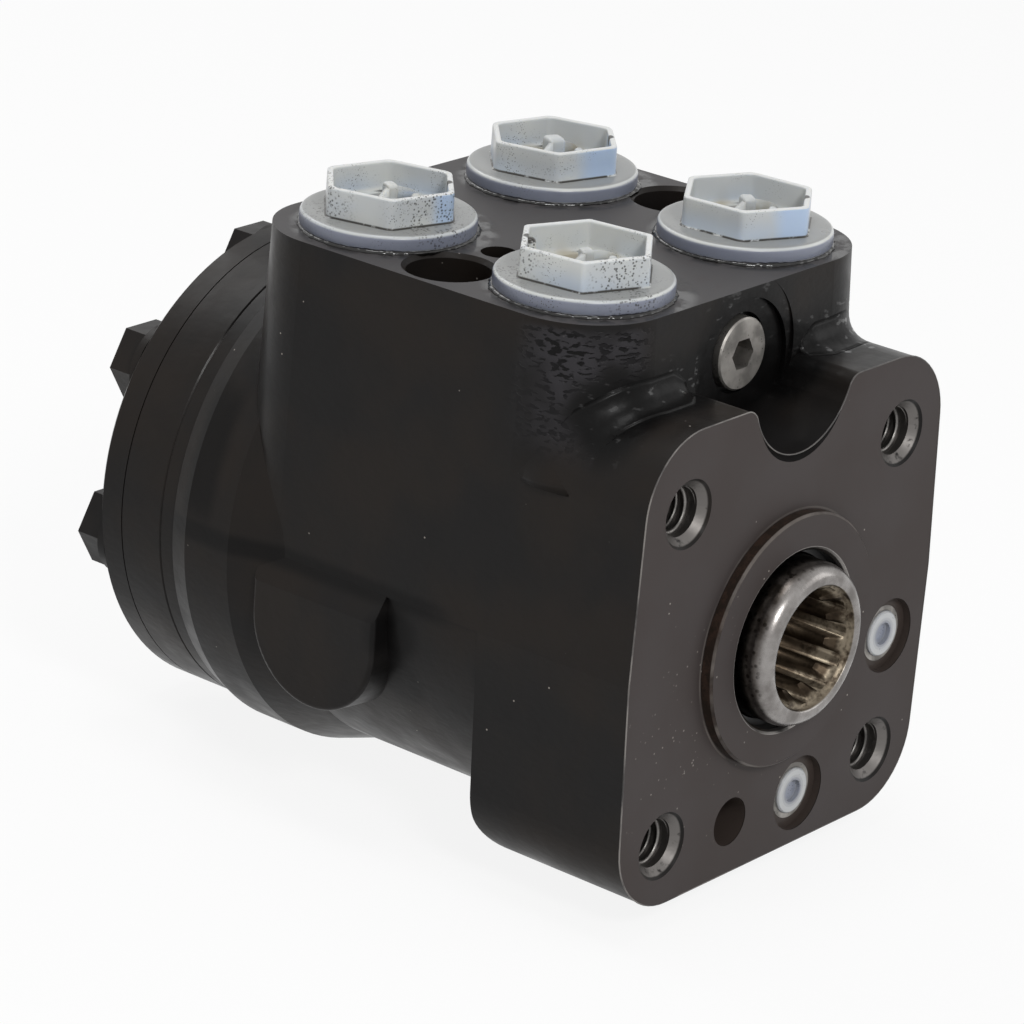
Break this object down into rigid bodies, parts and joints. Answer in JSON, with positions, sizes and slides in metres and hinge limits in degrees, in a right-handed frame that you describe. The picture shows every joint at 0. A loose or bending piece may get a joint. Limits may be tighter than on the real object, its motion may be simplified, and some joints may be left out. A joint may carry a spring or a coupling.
{
  "type": "orbital steering unit",
  "caption": "Hydrostatic steering unit: flanged iron housing with plugged top ports, splined rotary input spool and a bolted gear set with an orbiting rotor.",
  "frame": {"origin": "centre of the square of mounting threads, on the steering axis in the mounting face", "axes": "+Y along the steering axis from the mounting face to the end cover, +Z towards the ports, +X to the right seen from the mounting face"},
  "size_m": [0.0894, 0.1311, 0.1107],
  "materials": {
    "black_paint": "satin black paint over cast and machined iron",
    "bare_steel": "turned and ground steel, lightly oiled",
    "hard_steel": "hardened and ground steel",
    "spring_steel": "dull spring steel",
    "black_rubber": "matt nitrile rubber",
    "plug_nylon": "translucent milky polyethylene"
  },
  "bodies": {
    "casing": {"housing": "black_paint", "dust_seal": "black_rubber", "shaft_seal": "black_rubber", "front_bearing_race": "hard_steel", "distributor_plate": "black_paint", "gear_ring": "black_paint", "end_cover": "black_paint", "plate_seal": "black_rubber", "gear_ring_seal": "black_rubber", "cover_seal": "black_rubber", "bolt_washers": "black_paint", "cover_bolts": "black_paint", "pin_bolt": "black_paint", "roll_pin": "hard_steel", "relief_plug": "bare_steel", "relief_spring": "spring_steel", "shock_screw_right": "bare_steel", "shock_cap_right": "plug_nylon", "shock_spring_right": "spring_steel", "shock_screw_lower": "bare_steel", "shock_cap_lower": "plug_nylon", "shock_spring_lower": "spring_steel", "suction_pin_left": "hard_steel", "suction_pin_right": "hard_steel", "check_bushing": "bare_steel"},
    "bearing_cage": {"needle_cage": "hard_steel", "bearing_needles": "hard_steel"},
    "sleeve_set": {"control_sleeve": "hard_steel", "spring_retaining_ring": "hard_steel", "cross_pin": "hard_steel", "centring_springs": "spring_steel", "rear_bearing_race": "hard_steel"},
    "spool": {"control_spool": "bare_steel"},
    "orbit": {"cardan_spacer": "hard_steel"},
    "rotor": {"gear_rotor": "hard_steel"},
    "cardan": {"cardan_shaft": "hard_steel"},
    "relief_poppet": {"relief_poppet": "hard_steel"},
    "shock_ball_right": {"shock_ball_right": "hard_steel"},
    "shock_ball_lower": {"shock_ball_lower": "hard_steel"},
    "suction_ball_left": {"suction_ball_left": "hard_steel"},
    "suction_ball_right": {"suction_ball_right": "hard_steel"},
    "check_ball": {"check_ball": "hard_steel"},
    "plug_supply": {"plug_supply_port": "plug_nylon"},
    "plug_tank": {"plug_tank_port": "plug_nylon"},
    "plug_left": {"plug_left_port": "plug_nylon"},
    "plug_right": {"plug_right_port": "plug_nylon"}
  },
  "joints": [
    {"name": "sleeve_spin", "type": "hinge", "parent": "casing", "child": "sleeve_set", "pos_m": [0, 0.06, 0], "axis": [0, 1, 0], "continuous": true},
    {"name": "spool_deflection", "type": "hinge", "parent": "sleeve_set", "child": "spool", "pos_m": [0, 0.06, 0], "axis": [0, 1, 0], "range_deg": [-10, 10], "stiffness_Nm_per_rad": 8, "deforming": ["centring_springs"]},
    {"name": "cage_spin", "type": "hinge", "parent": "casing", "child": "bearing_cage", "pos_m": [0, 0.0155, 0], "axis": [0, 1, 0], "continuous": true},
    {"name": "rotor_orbit", "type": "hinge", "parent": "casing", "child": "orbit", "pos_m": [0, 0.11, 0], "axis": [0, 1, 0], "continuous": true},
    {"name": "rotor_spin", "type": "hinge", "parent": "orbit", "child": "rotor", "pos_m": [0, 0.107, -0.0032], "axis": [0, 1, 0], "continuous": true},
    {"name": "cardan_spin", "type": "hinge", "parent": "orbit", "child": "cardan", "pos_m": [0, 0.06, 0], "axis": [0, 0.9976, -0.0689], "continuous": true},
    {"name": "relief_lift", "type": "slide", "parent": "casing", "child": "relief_poppet", "axis": [0, -1, 0], "range_m": [0, 0.0012], "stiffness_N_per_m": 8000, "springref_m": -0.004, "deforming": ["relief_spring"]},
    {"name": "shock_lift_right", "type": "slide", "parent": "casing", "child": "shock_ball_right", "axis": [0, -1, 0], "range_m": [0, 0.001], "stiffness_N_per_m": 5000, "springref_m": -0.003, "deforming": ["shock_spring_right"]},
    {"name": "shock_lift_lower", "type": "slide", "parent": "casing", "child": "shock_ball_lower", "axis": [0, -1, 0], "range_m": [0, 0.001], "stiffness_N_per_m": 5000, "springref_m": -0.003, "deforming": ["shock_spring_lower"]},
    {"name": "suction_lift_left", "type": "slide", "parent": "casing", "child": "suction_ball_left", "axis": [0, 1, 0], "range_m": [0, 0.0018]},
    {"name": "suction_lift_right", "type": "slide", "parent": "casing", "child": "suction_ball_right", "axis": [0, 1, 0], "range_m": [0, 0.0018]},
    {"name": "check_ball_lift", "type": "slide", "parent": "casing", "child": "check_ball", "axis": [0, 0, 1], "range_m": [0, 0.002]},
    {"name": "supply_plug_draw", "type": "slide", "parent": "casing", "child": "plug_supply", "axis": [0, 0, 1], "range_m": [0, 0.03]},
    {"name": "tank_plug_draw", "type": "slide", "parent": "casing", "child": "plug_tank", "axis": [0, 0, 1], "range_m": [0, 0.03]},
    {"name": "left_plug_draw", "type": "slide", "parent": "casing", "child": "plug_left", "axis": [0, 0, 1], "range_m": [0, 0.03]},
    {"name": "right_plug_draw", "type": "slide", "parent": "casing", "child": "plug_right", "axis": [0, 0, 1], "range_m": [0, 0.03]}
  ],
  "couplings": [
    {"joint": "cage_spin", "follows": "sleeve_spin", "ratio": 0.5},
    {"joint": "rotor_orbit", "follows": "sleeve_spin", "ratio": -6},
    {"joint": "rotor_spin", "follows": "sleeve_spin", "ratio": 7},
    {"joint": "cardan_spin", "follows": "sleeve_spin", "ratio": 7}
  ]
}
